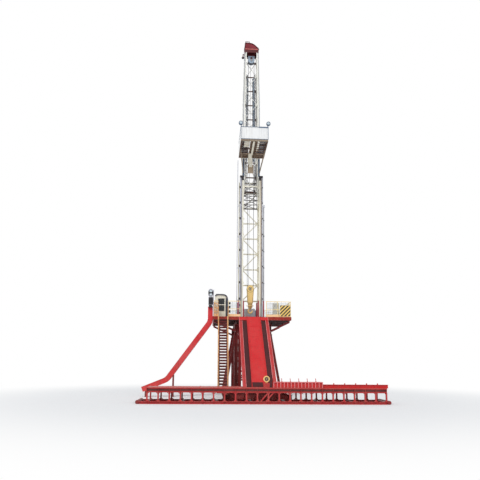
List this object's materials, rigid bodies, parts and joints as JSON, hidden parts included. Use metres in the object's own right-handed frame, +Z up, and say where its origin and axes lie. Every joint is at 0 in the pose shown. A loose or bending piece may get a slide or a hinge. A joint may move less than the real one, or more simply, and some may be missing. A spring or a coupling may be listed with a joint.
{
  "type": "land drilling rig",
  "caption": "Land drilling rig: braced substructure, drill floor with booth, open-front telescoping mast, racking board, crown, travelling block, pipe ramp, stair, slide and pipe platform.",
  "frame": {"origin": "middle of the footprint, on the ground", "axes": "+Z up, -Y towards the pipe platform, +X to the right seen from the platform"},
  "size_m": [18.0999, 13.95, 33.9],
  "materials": {
    "red_paint": "bright red enamel, weathered",
    "dark_red_paint": "red enamel in shade, weathered",
    "cream_paint": "cream enamel, weathered",
    "yellow_paint": "yellow orange enamel, weathered",
    "grey_paint": "grey enamel",
    "dark_steel": "greased dark steel",
    "white_sheet": "white painted sheet",
    "window_glass": "dark window glass",
    "wire_rope": "greased wire rope"
  },
  "bodies": {
    "rig": {"platform_front_truss": "red_paint", "platform_back_truss": "red_paint", "platform_cross_beams": "dark_red_paint", "platform_deck": "red_paint", "raised_deck": "red_paint", "pipe_rest_beam": "red_paint", "base_frame": "red_paint", "front_leg_frame": "red_paint", "back_leg_frame": "red_paint", "side_braces": "red_paint", "floor_beams": "dark_red_paint", "floor_edge": "yellow_paint", "drill_floor": "grey_paint", "rotary_table": "dark_steel", "front_rails": "cream_paint", "side_rails": "cream_paint", "back_rail": "cream_paint", "hazard_panel": "yellow_paint", "tool_cabinet": "cream_paint", "stair_stringers": "cream_paint", "stair_treads": "red_paint", "stair_rails": "cream_paint", "stair_landing": "red_paint", "ramp_frame": "dark_red_paint", "ramp_sides": "dark_steel", "ramp_plate": "red_paint", "escape_slide": "red_paint", "slide_legs": "dark_red_paint", "booth_shell": "grey_paint", "booth_front": "cream_paint", "booth_glass": "window_glass", "lamp_post": "grey_paint", "mast_base": "red_paint", "lower_mast_left": "cream_paint", "lower_mast_right": "cream_paint", "lower_mast_back": "cream_paint", "upper_mast_left": "cream_paint", "upper_mast_right": "cream_paint", "upper_mast_back": "cream_paint", "mast_locks": "dark_steel", "mast_ladder": "grey_paint", "standpipe": "grey_paint", "racking_board": "grey_paint", "racking_fingers": "dark_steel", "wind_wall": "white_sheet", "board_lamps": "dark_steel", "crown_frame": "red_paint", "crown_hanger": "grey_paint", "crown_cover": "red_paint", "drilling_lines": "wire_rope", "fast_line": "wire_rope", "drawworks": "grey_paint", "ramp_sheave": "yellow_paint"},
    "block": {"travelling_block": "yellow_paint"},
    "hook": {"hook": "yellow_paint"},
    "block_sheaves": {"block_sheaves": "dark_steel"},
    "crown_sheaves": {"crown_sheaves": "dark_steel"},
    "winch_sheave": {"winch_sheave": "dark_steel"}
  },
  "joints": [
    {"name": "block_travel", "type": "slide", "parent": "rig", "child": "block", "axis": [0, 0, 1], "range_m": [0, 20], "deforming": ["drilling_lines"]},
    {"name": "block_sheave_spin", "type": "hinge", "parent": "block", "child": "block_sheaves", "pos_m": [0.05, 3.375, 9.5], "axis": [0, 1, 0], "continuous": true},
    {"name": "hook_swivel", "type": "hinge", "parent": "block", "child": "hook", "pos_m": [0.05, 3.375, 8], "axis": [0, 0, 1], "continuous": true},
    {"name": "crown_sheave_spin", "type": "hinge", "parent": "rig", "child": "crown_sheaves", "pos_m": [0.05, 3.375, 32.3], "axis": [0, 1, 0], "continuous": true},
    {"name": "winch_sheave_spin", "type": "hinge", "parent": "rig", "child": "winch_sheave", "pos_m": [-0.77, 3.375, 32.64], "axis": [0, 1, 0], "continuous": true}
  ]
}
